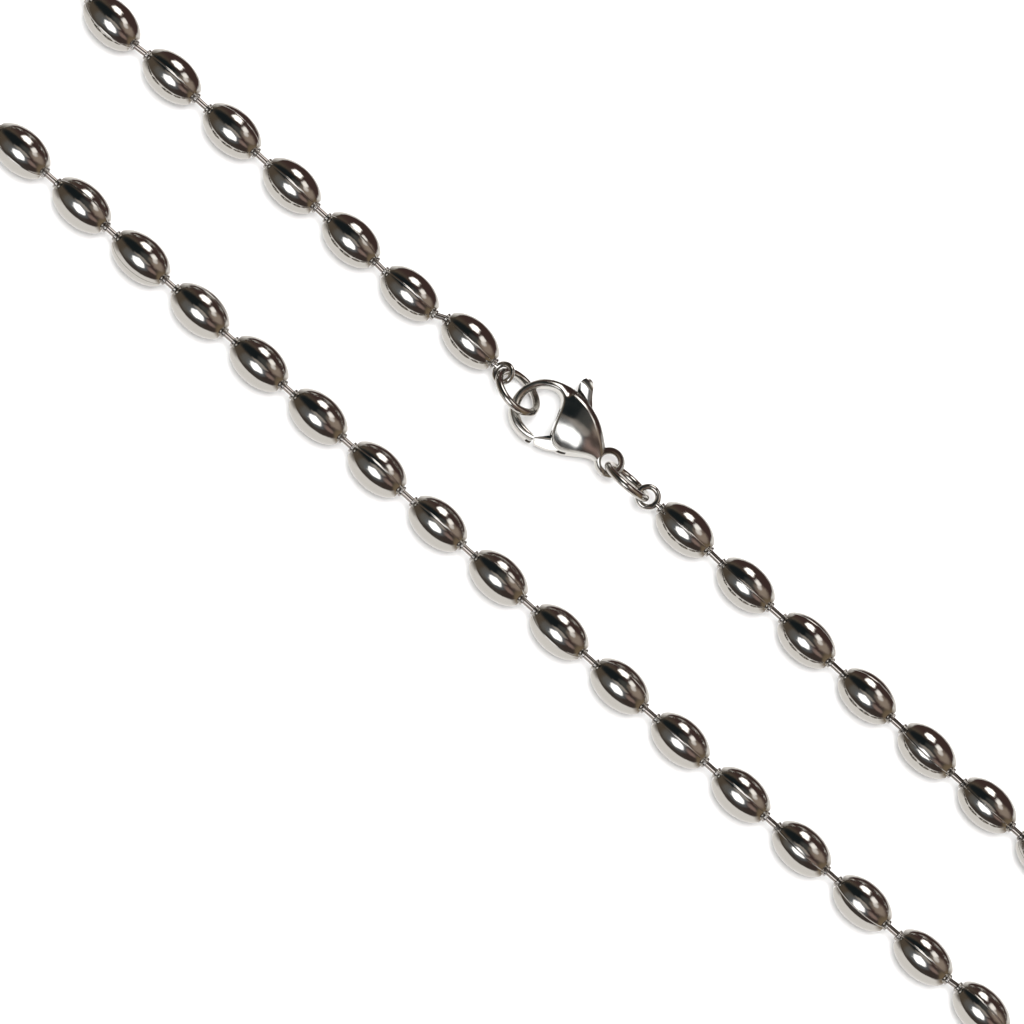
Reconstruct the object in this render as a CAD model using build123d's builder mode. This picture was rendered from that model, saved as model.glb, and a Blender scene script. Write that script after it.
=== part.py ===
from build123d import *

import os
from math import cos, radians, sin

os.makedirs("parts", exist_ok=True)

# Ball chain necklace lying as a long flat loop, clasp closed.
# Millimetres. X runs along the two long strands, Y across them, Z up from the surface it lies on.
# The origin is on that surface, under the middle of the whole loop.

# bead, an oval hollow shell with a drawn collar at each hole
bead_radius = 2.0
bead_half_curve = 3.15
bead_wall = 0.25
shoulder_x = 2.9
collar_end_x = 3.14
collar_radius = 0.54
hole_radius = 0.42
hole_middle_x = 2.96

# dumbbell wire between two beads
wire_radius = 0.27
head_radius = 0.6
head_span = 3.0

# route of the loop: two long strands and a teardrop turn at each end
strand_half_gap = 7.2
left_turn_x = -57.6
right_turn_x = 57.6
flare_radius = 30.0
flare_angle = 25.0
turn_radius = 18.8

# spacing of the beads, centre to centre, going away from the clasp and along the far strand
plain_pitch = 7.3
upper_left_steps = (7.05, 7.2, 7.35, 7.4, 7.4)
upper_right_steps = (7.5, 7.5, 7.5, 7.4, 7.4)
lower_first_x = -50.14
lower_close_pitch = 7.19
lower_close_steps = 5
lower_slack_pitch = 7.38
lower_slack_steps = 9

# the two end beads beside the clasp, and points X, Y that the near strand passes
left_end = (-15.74, 7.38)
right_end = (10.36, 7.6)
upper_left_points = [(-19.27, 7.1), (-26.4, 6.95), (-33.7, 7.05), (-48.6, 7.2)]
upper_right_points = [(44.0, 7.25), (36.8, 7.3), (21.8, 7.5), (14.4, 7.55)]
left_end_heading = (-1, 0.03)

# end loops, wire eyes with a stem headed inside the end bead
right_loop_radius = 0.94
left_loop_radius = 0.85
loop_wire_radius = 0.27
right_loop_reach = 4.53
left_neck_x = 3.45
left_loop_pitch = -25.6
left_loop_roll = 18.0

# jump rings: middle, turn about Z, then lean about the ring's own X
ring_radius = 2.25
ring_wire_radius = 0.36
ring_split_angle = 3.0
hook_ring_centre = (-9.4, 6.735, 2.355)
hook_ring_turn = -10.1
hook_ring_lean = -48.65
hook_ring_split_at = -5.0
eye_ring_centre = (3.46, 7.29, 2.48)
eye_ring_turn = 0.8
eye_ring_lean = -69.5
eye_ring_split_at = 60.0

# clasp: where its eye stands, then sizes in its own frame
clasp_eye = (1.12, 7.6, 1.95)
clasp_turn = 5.1
eye_outer_radius = 1.4
eye_hole_radius = 0.8
eye_thickness = 0.8
eye_round = 0.28
blank_half_depth = 1.6
side_cut_half_width = 6.0
edge_round = 0.25
shortest_rounded_edge = 1.0
slot_half_depth = 0.58

# lever of the clasp and the pin it turns on
pivot = (-3.2, 0.3)
lever_half_depth = 0.5
hub_radius = 1.0
gate_end_radius = 4.55
pin_radius = 0.42
pin_seat_gap = 0.03
pin_running_gap = 0.05
pin_top = 1.1
pin_bottom = -1.36
pin_chamfer = 0.06


# middle line of the beads, from the left end bead round both turns to the right end bead
turn_rise = turn_radius * cos(radians(flare_angle)) - strand_half_gap
flare_rise = flare_radius * (1 - cos(radians(flare_angle)))
side_length = (turn_rise - flare_rise) / sin(radians(flare_angle))
half_turn = 180 + 2 * flare_angle
with BuildLine() as route:
    near_left = Spline(
        left_end,
        *upper_left_points,
        (left_turn_x, strand_half_gap),
        tangents=[left_end_heading, (-1, 0)],
    )
    flare_a = JernArc(near_left @ 1, (-1, 0), flare_radius, -flare_angle)
    side_a = Line(flare_a @ 1, flare_a @ 1 + (flare_a % 1) * side_length)
    turn_a = JernArc(side_a @ 1, side_a % 1, turn_radius, half_turn)
    side_b = Line(turn_a @ 1, turn_a @ 1 + (turn_a % 1) * side_length)
    flare_b = JernArc(side_b @ 1, side_b % 1, flare_radius, -flare_angle)
    far_strand = Line(flare_b @ 1, (right_turn_x, -strand_half_gap))
    flare_c = JernArc(far_strand @ 1, (1, 0), flare_radius, -flare_angle)
    side_c = Line(flare_c @ 1, flare_c @ 1 + (flare_c % 1) * side_length)
    turn_b = JernArc(side_c @ 1, side_c % 1, turn_radius, half_turn)
    side_d = Line(turn_b @ 1, turn_b @ 1 + (turn_b % 1) * side_length)
    flare_d = JernArc(side_d @ 1, side_d % 1, flare_radius, -flare_angle)
    near_right = Spline(flare_d @ 1, *upper_right_points, right_end, tangents=[(-1, 0), (-1, 0)])
chain_line = route.wires()[0]


def bead_plane(distance):
    """Plane of a bead whose middle is this far along the route, X along the chain."""
    place = chain_line.position_at(distance, PositionMode.LENGTH)
    heading = chain_line.tangent_at(distance, PositionMode.LENGTH)
    return Plane(origin=(place.X, place.Y, bead_radius), x_dir=(heading.X, heading.Y, 0))


def running(first, steps):
    """Distances reached from the first by each step in turn."""
    reached = [first]
    for step in steps:
        reached.append(reached[-1] + step)
    return reached


def evenly(first, last):
    """Distances of the beads that fill the run between two given ones."""
    gaps = round((last - first) / plain_pitch)
    return [first + (last - first) * number / gaps for number in range(1, gaps)]


before_far_strand = near_left.length + 2 * flare_a.length + 2 * side_a.length + turn_a.length
lower_first = before_far_strand + lower_first_x - left_turn_x
lower_steps = [lower_close_pitch] * lower_close_steps + [lower_slack_pitch] * lower_slack_steps
left_run = running(0, upper_left_steps)
lower_run = running(lower_first, lower_steps)
right_run = [chain_line.length - back for back in reversed(running(0, upper_right_steps))]
left_fill = evenly(left_run[-1], lower_run[0])
right_fill = evenly(lower_run[-1], right_run[0])
distances = left_run + left_fill + lower_run + right_fill + right_run
bead_planes = [bead_plane(distance) for distance in distances]

# one bead, turned about its own X
with BuildPart() as bead:
    with BuildSketch(Plane.XZ):
        Ellipse(bead_half_curve, bead_radius)
        with Locations((0, -bead_radius)):
            Rectangle(2 * bead_half_curve, 2 * bead_radius, mode=Mode.SUBTRACT)
        with Locations((shoulder_x + 1, 0), (-shoulder_x - 1, 0)):
            Rectangle(2, 2 * bead_radius, mode=Mode.SUBTRACT)
        with Locations((0, collar_radius / 2)):
            Rectangle(2 * collar_end_x, collar_radius)
        Ellipse(bead_half_curve - bead_wall, bead_radius - bead_wall, mode=Mode.SUBTRACT)
        Rectangle(3 * bead_half_curve, 2 * hole_radius, mode=Mode.SUBTRACT)
    revolve(axis=Axis.X)

with BuildPart() as beads:
    with Locations(*[plane.location for plane in bead_planes]):
        add(bead.part)
beads.part.label = "beads"
export_step(beads.part, "parts/beads.step")

# one dumbbell wire
with BuildPart() as link:
    with BuildSketch(Plane.XZ):
        Rectangle(head_span, 2 * wire_radius)
        with Locations((-head_span / 2, 0), (head_span / 2, 0)):
            Circle(head_radius)
        with Locations((0, -head_radius)):
            Rectangle(3 * head_span, 2 * head_radius, mode=Mode.SUBTRACT)
    revolve(axis=Axis.X)


def link_plane(first, second):
    """Plane half-way between the facing holes of two beads, X from hole to hole."""
    leaving = first.origin + first.x_dir * hole_middle_x
    entering = second.origin - second.x_dir * hole_middle_x
    return Plane(origin=(leaving + entering) * 0.5, x_dir=entering - leaving)


with BuildPart() as links:
    with Locations(*[link_plane(a, b).location for a, b in zip(bead_planes, bead_planes[1:])]):
        add(link.part)
links.part.label = "links"
export_step(links.part, "parts/links.step")

# end loops
head_x = hole_middle_x - (head_span - plain_pitch + 2 * hole_middle_x) / 2
right_stem_length = right_loop_reach - right_loop_radius - head_x
left_stem_length = left_neck_x - head_x


def headed_stem(length):
    """Round wire along X with its ball head at the origin."""
    with BuildPart() as stem:
        with BuildSketch(Plane.XZ):
            Circle(head_radius)
            with Locations((length / 2, 0)):
                Rectangle(length, 2 * wire_radius)
            with Locations((0, -head_radius)):
                Rectangle(4 * length, 2 * head_radius, mode=Mode.SUBTRACT)
        revolve(axis=Axis.X)
    return stem.part


right_stem = headed_stem(right_stem_length)
left_stem = headed_stem(left_stem_length)

with BuildPart() as end_loop_right:
    with Locations(Plane(origin=bead_planes[-1].origin, x_dir=bead_planes[-1].x_dir).location):
        with Locations((head_x, 0, 0)):
            add(right_stem)
        with Locations((right_loop_reach, 0, 0)):
            Torus(right_loop_radius, loop_wire_radius)
end_loop_right.part.label = "end_loop_right"
export_step(end_loop_right.part, "parts/end_loop_right.step")

with BuildPart() as end_loop_left:
    with Locations(Plane(origin=bead_planes[0].origin, x_dir=-bead_planes[0].x_dir).location):
        with Locations((head_x, 0, 0)):
            add(left_stem)
        with Locations(Location((left_neck_x, 0, 0), (left_loop_roll, 0, 0))):
            with Locations(Location((0, 0, 0), (0, left_loop_pitch, 0))):
                with Locations((left_loop_radius, 0, 0)):
                    Torus(left_loop_radius, loop_wire_radius)
end_loop_left.part.label = "end_loop_left"
export_step(end_loop_left.part, "parts/end_loop_left.step")

# jump rings, each a round wire with a fine split
with BuildPart() as plain_ring:
    with BuildSketch(Plane.XZ):
        with Locations((ring_radius, 0)):
            Circle(ring_wire_radius)
    revolve(axis=Axis.Z, revolution_arc=360 - ring_split_angle)

with BuildPart() as ring_hook:
    with Locations(Location(hook_ring_centre, (0, 0, hook_ring_turn))):
        with Locations(Location((0, 0, 0), (hook_ring_lean, 0, 0))):
            with Locations(Location((0, 0, 0), (0, 0, hook_ring_split_at))):
                add(plain_ring.part)
ring_hook.part.label = "ring_hook"
export_step(ring_hook.part, "parts/ring_hook.step")

with BuildPart() as ring_eye:
    with Locations(Location(eye_ring_centre, (0, 0, eye_ring_turn))):
        with Locations(Location((0, 0, 0), (eye_ring_lean, 0, 0))):
            with Locations(Location((0, 0, 0), (0, 0, eye_ring_split_at))):
                add(plain_ring.part)
ring_eye.part.label = "ring_eye"
export_step(ring_eye.part, "parts/ring_eye.step")

# clasp, drawn with its eye at the origin and its hook towards -X, mid-plane at Z 0
back_points = [
    (-1.05, 0.75), (-1.7, 1.3), (-2.6, 2.02), (-3.75, 2.64), (-5.2, 3.12), (-6.6, 3.3),
    (-7.7, 3.18), (-8.7, 2.86), (-9.55, 2.3), (-10.25, 1.3), (-10.6, 0.1), (-10.52, -0.95),
    (-10.05, -1.95), (-9.1, -2.68), (-7.9, -2.97), (-6.72, -2.95),
]
throat_points = [
    (-7.1, -2.28), (-8.0, -2.12), (-8.85, -1.75), (-9.5, -1.1), (-9.8, -0.2), (-9.7, 0.75),
    (-9.2, 1.6), (-8.4, 2.2), (-7.55, 2.4), (-6.95, 2.1), (-6.6, 1.45), (-6.35, 0.6),
    (-6.05, -0.55), (-5.7, -1.45), (-5.1, -1.98), (-4.4, -2.05), (-3.4, -1.62), (-2.4, -1.05),
    (-1.5, -0.72), (-1.05, -0.75),
]
depth_points = [
    (0.2, 0.5), (-1.2, 0.72), (-2.6, 1.3), (-4.0, 1.5), (-5.6, 1.38), (-7.4, 0.98), (-9.4, 0.78),
    (-11.2, 0.72),
]
slot_points = [
    (-6.55, 4.2), (-6.4, 3.1), (-6.05, 2.3), (-5.6, 1.5), (-7.4, 1.1), (-7.4, -3.4),
    (-4.1, -3.4), (-3.6, -1.3), (-2.3, -0.75), (-1.95, 0.3), (-2.2, 1.4), (-2.4, 4.2),
]
gate_top_points = [(-3.2, 1.1), (-4.6, 0.2), (-5.5, -1.0), (-6.2, -1.75), (-7.2, -2.6)]
gate_low_points = [(-7.2, -3.05), (-6.2, -2.8), (-4.95, -2.38), (-4.05, -1.6), (-3.0, -0.5)]
tab_points = [
    (-2.9, 1.1), (-3.75, 2.4), (-4.45, 3.3), (-5.05, 4.2), (-5.4, 4.8), (-5.85, 5.05),
    (-6.3, 4.88), (-6.5, 4.35), (-6.25, 3.5), (-5.75, 2.5), (-5.0, 1.3), (-3.9, 0.3),
]

with BuildSketch(Plane.XZ) as side_view:
    with BuildLine():
        upper_side = Spline(*depth_points)
        lower_side = Spline(*[(x, -z) for x, z in depth_points])
        Line(upper_side @ 0, lower_side @ 0)
        Line(upper_side @ 1, lower_side @ 1)
    make_face()

with BuildPart() as eye:
    Cylinder(eye_outer_radius, eye_thickness)
    Cylinder(eye_hole_radius, eye_thickness, mode=Mode.SUBTRACT)
    fillet(eye.edges().filter_by(GeomType.CIRCLE), radius=eye_round)

with BuildPart() as casting:
    with BuildSketch(Plane.XY):
        with BuildLine():
            back = Spline(*back_points)
            throat = Spline(*throat_points)
            Line(back @ 1, throat @ 0)
            Line(throat @ 1, back @ 0)
        make_face()
    extrude(amount=blank_half_depth, both=True)
    extrude(side_view.sketch, amount=side_cut_half_width, both=True, mode=Mode.INTERSECT)
    fillet(casting.edges().filter_by(lambda edge: edge.length > shortest_rounded_edge), radius=edge_round)
    add(eye.part)
    with BuildSketch(Plane.XY):
        Polygon(*slot_points, align=None)
    extrude(amount=slot_half_depth, both=True, mode=Mode.SUBTRACT)
    with Locations(pivot):
        with Locations((0, 0, pin_top + pin_seat_gap)):
            Cylinder(
                pin_radius + pin_seat_gap,
                2 * blank_half_depth,
                align=(Align.CENTER, Align.CENTER, Align.MAX),
                mode=Mode.SUBTRACT,
            )

with BuildPart() as gate:
    with BuildSketch(Plane.XY):
        with BuildLine():
            gate_top = Spline(*gate_top_points)
            gate_low = Spline(*gate_low_points)
            Line(gate_top @ 1, gate_low @ 0)
            Line(gate_low @ 1, gate_top @ 0)
        make_face()
        with Locations(pivot):
            Circle(gate_end_radius, mode=Mode.INTERSECT)
            Circle(hub_radius)
        with BuildLine():
            Spline(*tab_points, periodic=True)
        make_face()
    extrude(amount=lever_half_depth, both=True)
    with Locations(pivot):
        Cylinder(pin_radius + pin_running_gap, 2 * blank_half_depth, mode=Mode.SUBTRACT)

with BuildPart() as pin:
    with Locations(pivot):
        with Locations((0, 0, pin_bottom)):
            Cylinder(pin_radius, pin_top - pin_bottom, align=(Align.CENTER, Align.CENTER, Align.MIN))
    chamfer(pin.edges().filter_by(GeomType.CIRCLE), length=pin_chamfer)

clasp_place = Location(clasp_eye, (0, 0, clasp_turn))
with BuildPart() as clasp_body:
    with Locations(clasp_place):
        add(casting.part)
clasp_body.part.label = "clasp_body"
export_step(clasp_body.part, "parts/clasp_body.step")

with BuildPart() as clasp_lever:
    with Locations(clasp_place):
        add(gate.part)
clasp_lever.part.label = "clasp_lever"
export_step(clasp_lever.part, "parts/clasp_lever.step")

with BuildPart() as clasp_pin:
    with Locations(clasp_place):
        add(pin.part)
clasp_pin.part.label = "clasp_pin"
export_step(clasp_pin.part, "parts/clasp_pin.step")
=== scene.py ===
import math
import random

import bpy
import numpy as np
from mathutils import Matrix, Vector


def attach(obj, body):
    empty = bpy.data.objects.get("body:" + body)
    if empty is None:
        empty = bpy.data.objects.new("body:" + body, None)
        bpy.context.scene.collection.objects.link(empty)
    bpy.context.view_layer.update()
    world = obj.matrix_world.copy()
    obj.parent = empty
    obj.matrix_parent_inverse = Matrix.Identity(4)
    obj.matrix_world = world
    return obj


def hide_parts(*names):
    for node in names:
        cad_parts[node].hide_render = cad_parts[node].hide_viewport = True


# Ball chain necklace, dressed on its CAD frame. Metres, same axes as the frame, sizes named in millimetres.

MM = 0.001
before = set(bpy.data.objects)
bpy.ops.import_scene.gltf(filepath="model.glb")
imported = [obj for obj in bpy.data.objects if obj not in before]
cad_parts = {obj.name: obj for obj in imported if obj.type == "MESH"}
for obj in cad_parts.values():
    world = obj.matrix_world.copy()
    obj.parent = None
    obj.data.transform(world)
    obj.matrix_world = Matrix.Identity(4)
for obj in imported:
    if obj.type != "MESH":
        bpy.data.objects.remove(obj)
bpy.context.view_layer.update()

# camera: where it looks, how high it stands over the floor, and how far the picture is turned
CAMERA_TARGET = Vector((-2.5, -1.85, 2.0)) * MM
CAMERA_ELEVATION = math.radians(80.0)
CAMERA_TURN = math.radians(41.8)
CAMERA_DISTANCE = 420 * MM
PICTURE_WIDTH = 93.1 * MM
LEVEL = Vector((1, 0, 0))
BACK = Vector((0, -math.cos(CAMERA_ELEVATION), math.sin(CAMERA_ELEVATION)))
RISE = BACK.cross(LEVEL)

# bead outline, millimetres from its middle along the chain and out from its axis
BEAD_HALF_CURVE = 3.14
BEAD_RADIUS = 1.99
BEAD_WALL = 0.24
SHOULDER_X = 2.85
COLLAR_END_X = 3.13
COLLAR_RADIUS = 0.54
HOLE_RADIUS = 0.42
COLLAR_TEETH = 5
TOOTH_HEIGHT = 0.006
AROUND_BEAD = 48
ALONG_BEAD = 26
BEADS_PER_PIECE = 33

# wire between beads
WIRE_RADIUS = 0.29
HEAD_RADIUS = 0.6
HEAD_SPAN = 3.0
AROUND_WIRE = 20

# seam of a bead, how far it lies from the top of its bead in radians, and the darker colour painted on its
# collars as shade in the necks between beads
COLLAR_SHADE_COLOUR = (0.48, 0.465, 0.45)
SEAM_SPREAD = 0.6
SEAM_HALF_WIDTH = 0.08
SEAM_DEPTH = 0.022

# clasp: its place, and the bows of its faces, in the clasp's own frame with the eye at 0 and hook towards -X
CLASP_EYE = (1.12, 7.6, 1.95)
CLASP_TURN = math.radians(5.1)
FACE_SPINE_Y = 1.3
FACE_THROAT_BOW = 0.12
FACE_BACK_BOW = 0.04
FACE_STARTS = (-6.9, -6.2)
HOOK_MIDDLE = (-8.0, 0.0)
HOOK_RADIUS = 2.4
HOOK_BOW = 0.7
BACK_MIDDLE = (-7.0, -4.86)
BACK_RADIUS = 8.17
RIDGE_WIDTH = 0.62
RIDGE_BOW = 1.0
TAB_MIDDLE = (-3.35, 0.2)
TAB_ACROSS = (0.857, 0.514)
TAB_BOW = 0.22
TIP_STARTS = 4.2
TIP_BOW = 0.45
GATE_MIDDLE = (-6.2, -2.28)
GATE_ACROSS = (-0.482, 0.876)
GATE_BOW = 0.4
LEVER_LEAN = 0.33

# how bright the floor is made, and the two lamps over it: direction, distance, width, share of the light
FLOOR_WHITE = 0.85
FLOOR_BRIGHTNESS = 1.95
FLOOR_LAMPS = {
    "lamp_over_floor": ((-0.03, 0.13, 1.0), 0.8, 0.40, 0.5),
    "wide_sky": ((0.0, 0.05, 1.0), 0.9, 1.8, 0.5),
}

# The studio, painted by where its parts show on a bead: along and across the bead as shares of its half
# length and half width, the reach of each part in the same way, how soft its edge is, and its brightness.
ROOM = [
    ("far_wall", 0.0, 0.44, 0.78, 0.515, 0.12, (0.075, 0.045, 0.040)),
    ("left_wall", -0.66, 0.02, 0.32, 0.50, 0.7, (0.12, 0.095, 0.07)),
    ("right_wall", 0.86, -0.02, 0.26, 0.44, 0.8, (0.24, 0.18, 0.115)),
    ("near_wall", -0.34, -0.20, 0.22, 0.22, 0.9, (0.16, 0.155, 0.145)),
    ("near_dark", 0.52, -0.28, 0.22, 0.16, 0.7, (0.066, 0.049, 0.043)),
    ("ceiling", -0.38, 0.19, 0.44, 0.20, 0.7, (0.014, 0.019, 0.021)),
    ("ceiling_end", 0.10, 0.20, 0.22, 0.12, 0.8, (0.08, 0.08, 0.075)),
    ("streak", 0.02, 0.01, 0.28, 0.07, 0.8, (0.50, 0.45, 0.40)),
    ("warm_end", 0.48, -0.11, 0.16, 0.08, 0.9, (0.34, 0.24, 0.21)),
    ("side_glow", 0.50, 0.28, 0.22, 0.20, 0.9, (0.40, 0.32, 0.26)),
    ("side_light_low", 0.35, 0.33, 0.09, 0.08, 0.8, (1.0, 0.95, 0.9)),
    ("side_light", 0.23, 0.44, 0.11, 0.10, 0.8, (1.5, 1.45, 1.38)),
    ("far_light", -0.14, 0.57, 0.17, 0.11, 0.7, (3.2, 3.1, 2.95)),
    ("near_glow", 0.0, -0.20, 0.32, 0.20, 0.9, (0.20, 0.22, 0.24)),
    ("near_light", 0.0, -0.20, 0.23, 0.14, 0.5, (2.8, 2.8, 2.8)),
]
FLOOR_SEEN = (1.05, 1.02, 0.98)
HORIZON_TILT = math.radians(17.7)
DIM_WALL = (0.075, 0.062, 0.055)


def solids(node):
    """Corner points of each separate solid of a CAD node."""
    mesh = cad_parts[node].data
    points = np.empty(len(mesh.vertices) * 3)
    mesh.vertices.foreach_get("co", points)
    points = points.reshape(-1, 3)
    corner = np.unique(points.round(7), axis=0, return_inverse=True)[1].ravel()
    ends = np.empty(len(mesh.edges) * 2, int)
    mesh.edges.foreach_get("vertices", ends)
    first, second = corner[ends].reshape(-1, 2).T
    group = np.arange(corner.max() + 1)
    settled = False
    while not settled:
        lowest = np.minimum(group[first], group[second])
        joined = group.copy()
        np.minimum.at(joined, first, lowest)
        np.minimum.at(joined, second, lowest)
        joined = joined[joined]
        settled = bool((joined == group).all())
        group = joined
    return [points[group[corner] == number] for number in np.unique(group)]


def lying_place(points):
    """Matrix that puts a turned shape, drawn along X round the origin, where this solid lies level."""
    flat = points[:, :2] - points[:, :2].mean(0)
    along = np.linalg.eigh(flat.T @ flat)[1][:, 1]
    across = np.array([-along[1], along[0]])
    middle = [(points[:, :2] @ way).max() / 2 + (points[:, :2] @ way).min() / 2 for way in (along, across)]
    spot = middle[0] * along + middle[1] * across
    height = (points[:, 2].max() + points[:, 2].min()) / 2
    turn = Matrix.Rotation(math.atan2(along[1], along[0]), 4, "Z")
    return Matrix.Translation((spot[0], spot[1], height)) @ turn


def turned_mesh(name, outline, places, around, teeth_on=(), seed=1):
    """One mesh of a closed outline turned about X, set down once at each place.

    Its map holds millimetres round the piece from its seam, and along it. The layer "own" is one number per copy.
    """
    chance = random.Random(seed)
    corners, faces, maps, own = [], [], [], []
    steps = len(outline)
    for place in places:
        base = len(corners)
        roll = chance.gauss(-math.pi / 2, SEAM_SPREAD)
        number = chance.random()
        teeth_roll = chance.uniform(0, 2 * math.pi)
        for turn in range(around):
            angle = 2 * math.pi * turn / around
            for row, (x, r) in enumerate(outline):
                if row in teeth_on:
                    r += TOOTH_HEIGHT * math.sin(COLLAR_TEETH * angle + teeth_roll)
                side = Vector((x, r * math.cos(angle + roll), r * math.sin(angle + roll))) * MM
                corners.append(place @ side)
        own += [number] * (around * steps)
        for turn in range(around):
            here = base + turn * steps
            there = base + (turn + 1) % around * steps
            for row in range(steps):
                after = (row + 1) % steps
                faces.append((here + row, here + after, there + after, there + row))
                for step, spot in ((turn, row), (turn, after), (turn + 1, after), (turn + 1, row)):
                    x, r = outline[spot]
                    maps.append(((2 * math.pi * step / around - math.pi) * r, x))
    mesh = bpy.data.meshes.new(name)
    mesh.from_pydata(corners, [], faces)
    mesh.uv_layers.new(name="round_and_along").data.foreach_set("uv", np.array(maps).ravel())
    mesh.attributes.new("own", "FLOAT", "POINT").data.foreach_set("value", own)
    mesh.shade_smooth()
    mesh.validate()
    return mesh


def piece(name, mesh, material, *nodes):
    """A new piece of the necklace that stands for CAD nodes."""
    made = bpy.data.objects.new(name, mesh)
    bpy.context.scene.collection.objects.link(made)
    mesh.materials.append(material)
    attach(made, "necklace")
    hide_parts(*nodes)
    return made


def bead_outline():
    """Outer skin, collars and inner wall of one bead as one closed outline."""
    limit = math.asin(SHOULDER_X / BEAD_HALF_CURVE)
    skin = []
    for step in range(ALONG_BEAD + 1):
        angle = limit * (2 * step / ALONG_BEAD - 1)
        skin.append((BEAD_HALF_CURVE * math.sin(angle), BEAD_RADIUS * math.cos(angle)))
    edge = 0.04
    lip = [
        (SHOULDER_X, COLLAR_RADIUS + 2 * edge),
        (SHOULDER_X + edge, COLLAR_RADIUS - 2 * edge),
        (SHOULDER_X + 2.5 * edge, COLLAR_RADIUS),
        (COLLAR_END_X - 1.5 * edge, COLLAR_RADIUS),
        (COLLAR_END_X, COLLAR_RADIUS - edge),
        (COLLAR_END_X, HOLE_RADIUS + edge),
        (COLLAR_END_X - edge, HOLE_RADIUS),
        (SHOULDER_X - 3 * edge, HOLE_RADIUS),
    ]
    inner_length = BEAD_HALF_CURVE - BEAD_WALL
    inner_radius = BEAD_RADIUS - BEAD_WALL
    inner_limit = math.asin((SHOULDER_X - 3 * edge) / inner_length)
    inside = []
    for step in range(ALONG_BEAD // 2 + 1):
        angle = inner_limit * (1 - 4 * step / ALONG_BEAD)
        inside.append((inner_length * math.sin(angle), inner_radius * math.cos(angle)))
    inside = inside[1:-1]
    far_lip = [(-x, r) for x, r in reversed(lip)]
    rows = skin + lip + inside + far_lip
    teeth = [number for number, (x, r) in enumerate(rows) if r == COLLAR_RADIUS]
    return rows, teeth


def wire_outline():
    """Dumbbell wire: a bar with a ball at each end, its middle at the origin."""
    ball_steps = 8
    neck = 0.04
    reach = math.acos(WIRE_RADIUS / HEAD_RADIUS)
    rows = []
    for step in range(ball_steps + 1):
        angle = math.pi - (math.pi / 2 + reach) * step / ball_steps
        rows.append((-HEAD_SPAN / 2 + HEAD_RADIUS * math.cos(angle), max(HEAD_RADIUS * math.sin(angle), 0.001)))
    rows.append((rows[-1][0] + neck, WIRE_RADIUS))
    return rows + [(-x, r) for x, r in reversed(rows)]


def node(tree, kind, **settings):
    """Adds a shader node and sets its properties."""
    made = tree.nodes.new(kind)
    for key, value in settings.items():
        setattr(made, key, value)
    return made


def maths(tree, operation, *values, clamp=False):
    """Math node on numbers or sockets."""
    made = node(tree, "ShaderNodeMath", operation=operation, use_clamp=clamp)
    for number, value in enumerate(values):
        if isinstance(value, (int, float)):
            made.inputs[number].default_value = value
        else:
            tree.links.new(value, made.inputs[number])
    return made.outputs["Value"]


def faded(tree, value, start, end):
    """Rises smoothly from 0 to 1 as the value goes from start to end."""
    made = node(tree, "ShaderNodeMapRange", interpolation_type="SMOOTHSTEP")
    made.inputs["From Min"].default_value = min(start, end)
    made.inputs["From Max"].default_value = max(start, end)
    made.inputs["To Min"].default_value = 0.0 if start < end else 1.0
    made.inputs["To Max"].default_value = 1.0 if start < end else 0.0
    tree.links.new(value, made.inputs["Value"])
    return made.outputs["Result"]


def painted(tree, below, colour, share):
    """Colour laid over what is below by a share."""
    made = node(tree, "ShaderNodeMix", data_type="RGBA")
    tree.links.new(share, made.inputs["Factor"])
    tree.links.new(below, made.inputs["A"])
    made.inputs["B"].default_value = (*colour, 1)
    return made.outputs["Result"]


def seam(tree, place):
    """Fine groove along a bead where its sheet was closed."""
    round_and_along = node(tree, "ShaderNodeUVMap", uv_map="round_and_along")
    parts = node(tree, "ShaderNodeSeparateXYZ")
    tree.links.new(round_and_along.outputs["UV"], parts.inputs["Vector"])
    off = maths(tree, "ABSOLUTE", parts.outputs["X"])
    return maths(tree, "MULTIPLY", faded(tree, off, 0.0, SEAM_HALF_WIDTH), SEAM_DEPTH)


def clasp_spot(tree, place):
    """X and Y in the clasp's own frame, millimetres: eye at 0, hook towards -X."""
    turned = node(tree, "ShaderNodeMapping", vector_type="TEXTURE")
    turned.inputs["Location"].default_value = [MM * value for value in CLASP_EYE]
    turned.inputs["Rotation"].default_value = (0, 0, CLASP_TURN)
    turned.inputs["Scale"].default_value = (MM, MM, MM)
    tree.links.new(place, turned.inputs["Vector"])
    parts = node(tree, "ShaderNodeSeparateXYZ")
    tree.links.new(turned.outputs["Vector"], parts.inputs["Vector"])
    return parts.outputs["X"], parts.outputs["Y"]


def off_line(tree, x, y, middle, across):
    """Distance of a spot from a line through the middle, measured along the given direction."""
    return maths(
        tree, "ADD",
        maths(tree, "MULTIPLY", maths(tree, "SUBTRACT", x, middle[0]), across[0]),
        maths(tree, "MULTIPLY", maths(tree, "SUBTRACT", y, middle[1]), across[1]),
    )


def from_middle(tree, x, y, middle):
    """Distance of a spot from a point."""
    aside = maths(tree, "SUBTRACT", x, middle[0])
    above = maths(tree, "SUBTRACT", y, middle[1])
    return maths(tree, "SQRT", maths(tree, "ADD", maths(tree, "POWER", aside, 2), maths(tree, "POWER", above, 2)))


def bowed(tree, value, start, strength):
    """Height that falls away ever steeper past a start."""
    past = maths(tree, "MAXIMUM", maths(tree, "SUBTRACT", value, start), 0)
    return maths(tree, "MULTIPLY", maths(tree, "POWER", past, 2), -strength)


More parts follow.
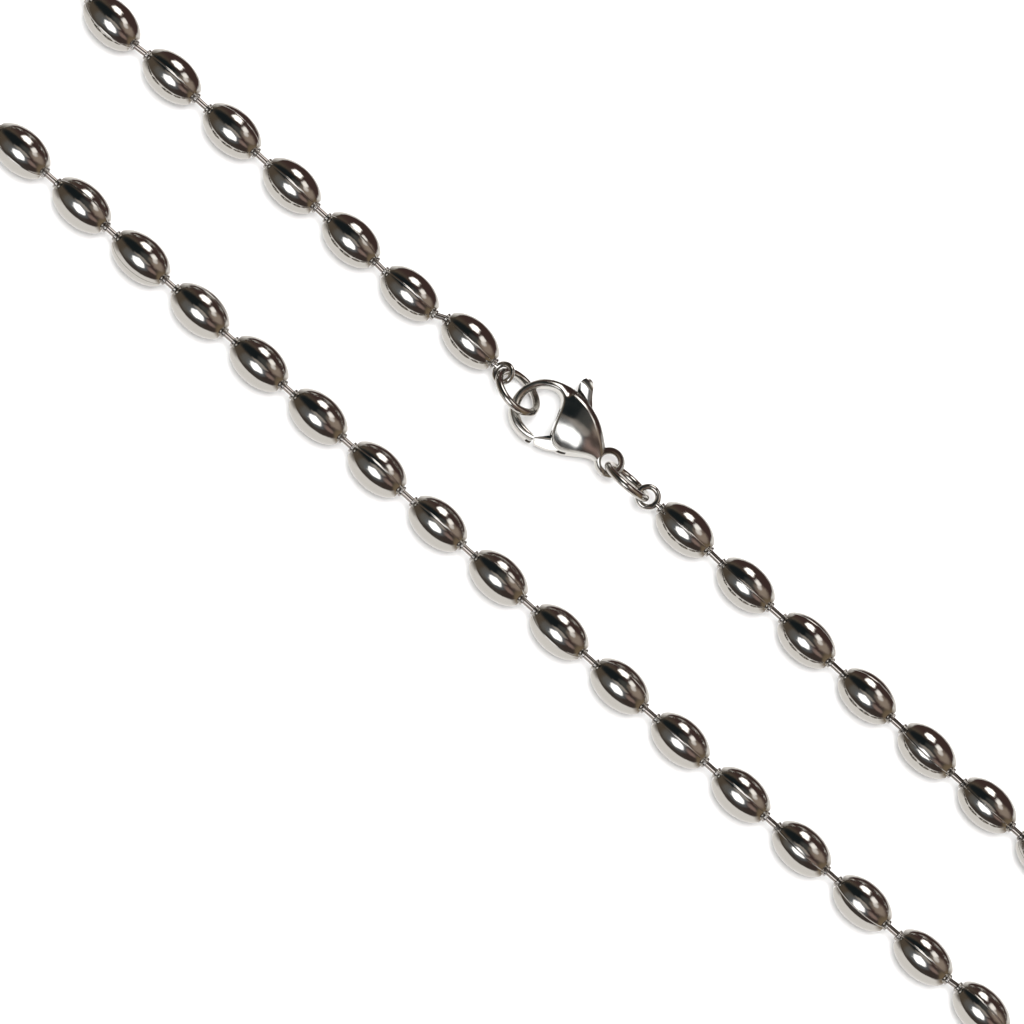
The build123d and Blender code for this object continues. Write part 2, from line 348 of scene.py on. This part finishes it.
def clasp_dome(tree, place):
    """The casting's face is domed across, steeper towards the throat, and its hook is rounded."""
    x, y = clasp_spot(tree, place)
    off = maths(tree, "SUBTRACT", y, FACE_SPINE_Y)
    throat_side = maths(tree, "MINIMUM", off, 0)
    back_side = maths(tree, "MAXIMUM", off, 0)
    face = maths(
        tree, "ADD",
        maths(tree, "MULTIPLY", maths(tree, "POWER", throat_side, 2), -FACE_THROAT_BOW),
        maths(tree, "MULTIPLY", maths(tree, "POWER", back_side, 2), -FACE_BACK_BOW),
    )
    ridge = bowed(tree, from_middle(tree, x, y, BACK_MIDDLE), BACK_RADIUS - RIDGE_WIDTH, RIDGE_BOW)
    face = maths(tree, "ADD", face, ridge)
    from_band = maths(tree, "SUBTRACT", from_middle(tree, x, y, HOOK_MIDDLE), HOOK_RADIUS)
    band = maths(tree, "MULTIPLY", maths(tree, "POWER", from_band, 2), -HOOK_BOW)
    on_face = faded(tree, x, *FACE_STARTS)
    rest = maths(tree, "SUBTRACT", 1, on_face)
    return maths(tree, "ADD", maths(tree, "MULTIPLY", face, on_face), maths(tree, "MULTIPLY", band, rest))


def lever_dome(tree, place):
    """The lever's face leans towards the throat; its gate and its thumb tab are rounded."""
    x, y = clasp_spot(tree, place)
    across_tab = off_line(tree, x, y, TAB_MIDDLE, TAB_ACROSS)
    across_gate = off_line(tree, x, y, GATE_MIDDLE, GATE_ACROSS)
    tab = maths(tree, "MULTIPLY", maths(tree, "POWER", across_tab, 2), -TAB_BOW)
    tab = maths(tree, "ADD", tab, bowed(tree, y, TIP_STARTS, TIP_BOW))
    gate = bowed(tree, across_gate, 0, GATE_BOW)
    on_tab = faded(tree, y, 0.5, 1.5)
    rest = maths(tree, "SUBTRACT", 1, on_tab)
    rounding = maths(tree, "ADD", maths(tree, "MULTIPLY", tab, on_tab), maths(tree, "MULTIPLY", gate, rest))
    return maths(tree, "ADD", maths(tree, "MULTIPLY", y, LEVER_LEAN), rounding)


def steel(name, colour, roughness, ripple, scratch, shape=None):
    """Polished steel: faint waves, fine hairlines, cloudy shine and slight tarnish.

    A shape gives the height of the surface in millimetres over the modelled one.
    """
    made = bpy.data.materials.new(name)
    made.use_nodes = True
    tree = made.node_tree
    link = tree.links.new
    shader = tree.nodes["Principled BSDF"]
    shader.inputs["Metallic"].default_value = 1.0
    place = node(tree, "ShaderNodeTexCoord")

    cloud = node(tree, "ShaderNodeTexNoise")
    cloud.inputs["Scale"].default_value = 900
    cloud.inputs["Detail"].default_value = 5
    link(place.outputs["Object"], cloud.inputs["Vector"])
    tint = node(tree, "ShaderNodeMix", data_type="RGBA")
    tint.inputs["A"].default_value = (*[0.93 * c for c in colour], 1)
    tint.inputs["B"].default_value = (*colour, 1)
    link(cloud.outputs["Fac"], tint.inputs["Factor"])
    link(tint.outputs["Result"], shader.inputs["Base Color"])
    if shape is seam:
        round_and_along = node(tree, "ShaderNodeUVMap", uv_map="round_and_along")
        parts = node(tree, "ShaderNodeSeparateXYZ")
        link(round_and_along.outputs["UV"], parts.inputs["Vector"])
        # The collars get a darker colour here: painted shade where the beads neck together.
        at_collar = faded(tree, maths(tree, "ABSOLUTE", parts.outputs["Y"]), SHOULDER_X - 0.06, SHOULDER_X + 0.02)
        link(painted(tree, tint.outputs["Result"], COLLAR_SHADE_COLOUR, at_collar), shader.inputs["Base Color"])

    shine = node(tree, "ShaderNodeMapRange")
    shine.inputs["From Min"].default_value = 0.3
    shine.inputs["From Max"].default_value = 0.7
    shine.inputs["To Min"].default_value = 0.7 * roughness
    shine.inputs["To Max"].default_value = 1.6 * roughness
    link(cloud.outputs["Fac"], shine.inputs["Value"])
    link(shine.outputs["Result"], shader.inputs["Roughness"])

    waves = node(tree, "ShaderNodeTexNoise")
    waves.inputs["Scale"].default_value = 420
    waves.inputs["Detail"].default_value = 1.5
    link(place.outputs["Object"], waves.inputs["Vector"])
    wave_bump = node(tree, "ShaderNodeBump")
    wave_bump.inputs["Strength"].default_value = ripple
    wave_bump.inputs["Distance"].default_value = 0.1 * MM
    link(waves.outputs["Fac"], wave_bump.inputs["Height"])
    if shape:
        shape_bump = node(tree, "ShaderNodeBump")
        shape_bump.inputs["Strength"].default_value = 1.0
        shape_bump.inputs["Distance"].default_value = MM
        link(shape(tree, place.outputs["Object"]), shape_bump.inputs["Height"])
        link(shape_bump.outputs["Normal"], wave_bump.inputs["Normal"])

    stretch = node(tree, "ShaderNodeMapping")
    stretch.inputs["Scale"].default_value = (3000, 30000, 30000)
    link(place.outputs["Object"], stretch.inputs["Vector"])
    hairs = node(tree, "ShaderNodeTexNoise")
    hairs.inputs["Scale"].default_value = 1
    hairs.inputs["Detail"].default_value = 2
    link(stretch.outputs["Vector"], hairs.inputs["Vector"])
    hair_bump = node(tree, "ShaderNodeBump")
    hair_bump.inputs["Strength"].default_value = scratch
    hair_bump.inputs["Distance"].default_value = 0.003 * MM
    link(hairs.outputs["Fac"], hair_bump.inputs["Height"])
    link(wave_bump.outputs["Normal"], hair_bump.inputs["Normal"])
    link(hair_bump.outputs["Normal"], shader.inputs["Normal"])
    return made


def floor():
    """Pale floor under the necklace."""
    half = 1.2
    mesh = bpy.data.meshes.new("floor")
    mesh.from_pydata([(-half, -half, 0), (half, -half, 0), (half, half, 0), (-half, half, 0)], [], [(0, 1, 2, 3)])
    made = bpy.data.objects.new("floor", mesh)
    bpy.context.scene.collection.objects.link(made)
    paper = bpy.data.materials.new("white_paper")
    paper.use_nodes = True
    shader = paper.node_tree.nodes["Principled BSDF"]
    shader.inputs["Base Color"].default_value = (FLOOR_WHITE, FLOOR_WHITE, FLOOR_WHITE, 1)
    shader.inputs["Roughness"].default_value = 1.0
    shader.inputs["Specular IOR Level"].default_value = 0.0
    mesh.materials.append(paper)
    made.visible_glossy = False


def lamp(name, direction, distance, width, brightness):
    """Square soft lamp that lights the floor and is not seen in the metal."""
    light = bpy.data.lights.new(name, "AREA")
    light.shape = "SQUARE"
    light.size = width
    light.energy = brightness * math.pi * math.pi * distance * distance / FLOOR_WHITE
    made = bpy.data.objects.new(name, light)
    bpy.context.scene.collection.objects.link(made)
    way = Vector(direction).normalized()
    made.location = CAMERA_TARGET + way * distance
    made.rotation_euler = way.to_track_quat("Z", "Y").to_euler()
    made.visible_glossy = False


def on_mirror_ball(along, across):
    """Where a spot of a bead's surface lies on a round mirror ball that reflects the same."""
    slender = BEAD_RADIUS / BEAD_HALF_CURVE
    size = math.sqrt(max(1 - along * along * (1 - slender * slender), 0.01))
    return along * slender / size, across / size


def along_way(tree, source, way):
    """How far a direction socket points a given way."""
    made = node(tree, "ShaderNodeVectorMath", operation="DOT_PRODUCT")
    tree.links.new(source, made.inputs[0])
    made.inputs[1].default_value = way
    return made.outputs["Value"]


def uneven(tree, way, scale, reach):
    """Slow waver to either side of 0, different in each direction."""
    noise = node(tree, "ShaderNodeTexNoise")
    noise.inputs["Scale"].default_value = scale
    noise.inputs["Detail"].default_value = 2
    tree.links.new(way, noise.inputs["Vector"])
    return maths(tree, "MULTIPLY", maths(tree, "SUBTRACT", noise.outputs["Fac"], 0.5), reach)


def room():
    """Studio round the chain, seen only in the metal: dark walls and ceiling, three lights, pale floor."""
    world = bpy.data.worlds.new("studio")
    bpy.context.scene.world = world
    world.use_nodes = True
    tree = world.node_tree
    way = node(tree, "ShaderNodeTexCoord").outputs["Generated"]
    half = node(tree, "ShaderNodeVectorMath", operation="ADD")
    tree.links.new(way, half.inputs[0])
    half.inputs[1].default_value = BACK
    facing = node(tree, "ShaderNodeVectorMath", operation="NORMALIZE")
    tree.links.new(half.outputs["Vector"], facing.inputs[0])
    ball_x = maths(tree, "ADD", along_way(tree, facing.outputs["Vector"], LEVEL), uneven(tree, way, 5, 0.10))
    ball_y = maths(tree, "ADD", along_way(tree, facing.outputs["Vector"], RISE), uneven(tree, way, 7, 0.10))
    upright = math.cos(HORIZON_TILT) * BACK + math.sin(HORIZON_TILT) * RISE
    height = along_way(tree, way, upright)
    wall = node(tree, "ShaderNodeRGB")
    wall.outputs[0].default_value = (*DIM_WALL, 1)
    seen = painted(tree, wall.outputs[0], FLOOR_SEEN, faded(tree, height, 0.02, -0.02))
    for name, along, across, reach_along, reach_across, soft, colour in ROOM:
        middle_x, middle_y = on_mirror_ball(along, across)
        edge_x = on_mirror_ball(min(abs(along) + reach_along, 0.99), 0)[0] - abs(middle_x)
        off_x = maths(tree, "DIVIDE", maths(tree, "SUBTRACT", ball_x, middle_x), edge_x)
        off_y = maths(tree, "DIVIDE", maths(tree, "SUBTRACT", ball_y, middle_y), reach_across)
        power = 2 if soft > 0.4 or reach_across > 0.3 else 4
        off = maths(tree, "ADD", maths(tree, "POWER", maths(tree, "ABSOLUTE", off_x), power),
                    maths(tree, "POWER", maths(tree, "ABSOLUTE", off_y), power))
        seen = painted(tree, seen, colour, faded(tree, off, 1 + soft, max(1 - soft, 0)))
    tree.links.new(seen, tree.nodes["Background"].inputs["Color"])


def camera():
    """Camera high over the near side, turned so that the strands run from upper left to lower right."""
    lens = bpy.data.cameras.new("camera")
    lens.sensor_width = 36
    lens.lens = 36 * CAMERA_DISTANCE / PICTURE_WIDTH
    made = bpy.data.objects.new("camera", lens)
    bpy.context.scene.collection.objects.link(made)
    right = math.cos(CAMERA_TURN) * LEVEL + math.sin(CAMERA_TURN) * RISE
    up = math.cos(CAMERA_TURN) * RISE - math.sin(CAMERA_TURN) * LEVEL
    made.matrix_world = Matrix.LocRotScale(
        CAMERA_TARGET + BACK * CAMERA_DISTANCE,
        Matrix((right, up, BACK)).transposed(),
        None,
    )
    bpy.context.scene.camera = made


bead_steel = steel("bead_steel", (0.57, 0.555, 0.53), 0.06, 0.45, 0.3, seam)
wire_steel = steel("wire_steel", (0.60, 0.585, 0.56), 0.08, 0.25, 0.4)
# The wires get a darker copy of the steel: painted shade in the necks between the beads.
link_steel_shaded = steel("link_steel_shaded", (0.40, 0.37, 0.35), 0.10, 0.25, 0.4)
clasp_steel = steel("clasp_steel", (0.62, 0.61, 0.585), 0.14, 1.0, 0.5, clasp_dome)
lever_steel = steel("lever_steel", (0.60, 0.59, 0.57), 0.07, 0.5, 0.4, lever_dome)

outline, teeth_rows = bead_outline()
bead_places = [lying_place(points) for points in solids("beads")]
for start in range(0, len(bead_places), BEADS_PER_PIECE):
    batch = bead_places[start:start + BEADS_PER_PIECE]
    label = f"bead_shells_{start // BEADS_PER_PIECE + 1}"
    shells = turned_mesh(label, outline, batch, AROUND_BEAD, teeth_rows, seed=start + 1)
    piece(label, shells, bead_steel, "beads")

link_places = [lying_place(points) for points in solids("links")]
piece("bead_wires", turned_mesh("bead_wires", wire_outline(), link_places, AROUND_WIRE), link_steel_shaded, "links")

for name in ("end_loop_left", "end_loop_right", "ring_hook", "ring_eye"):
    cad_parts[name].data.materials[0] = wire_steel
for name in ("clasp_body", "clasp_pin"):
    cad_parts[name].data.materials[0] = clasp_steel
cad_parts["clasp_lever"].data.materials[0] = lever_steel

floor()
room()
for name, (direction, distance, width, share) in FLOOR_LAMPS.items():
    lamp(name, direction, distance, width, share * FLOOR_BRIGHTNESS)
camera()
bpy.context.scene.view_settings.view_transform = "Standard"
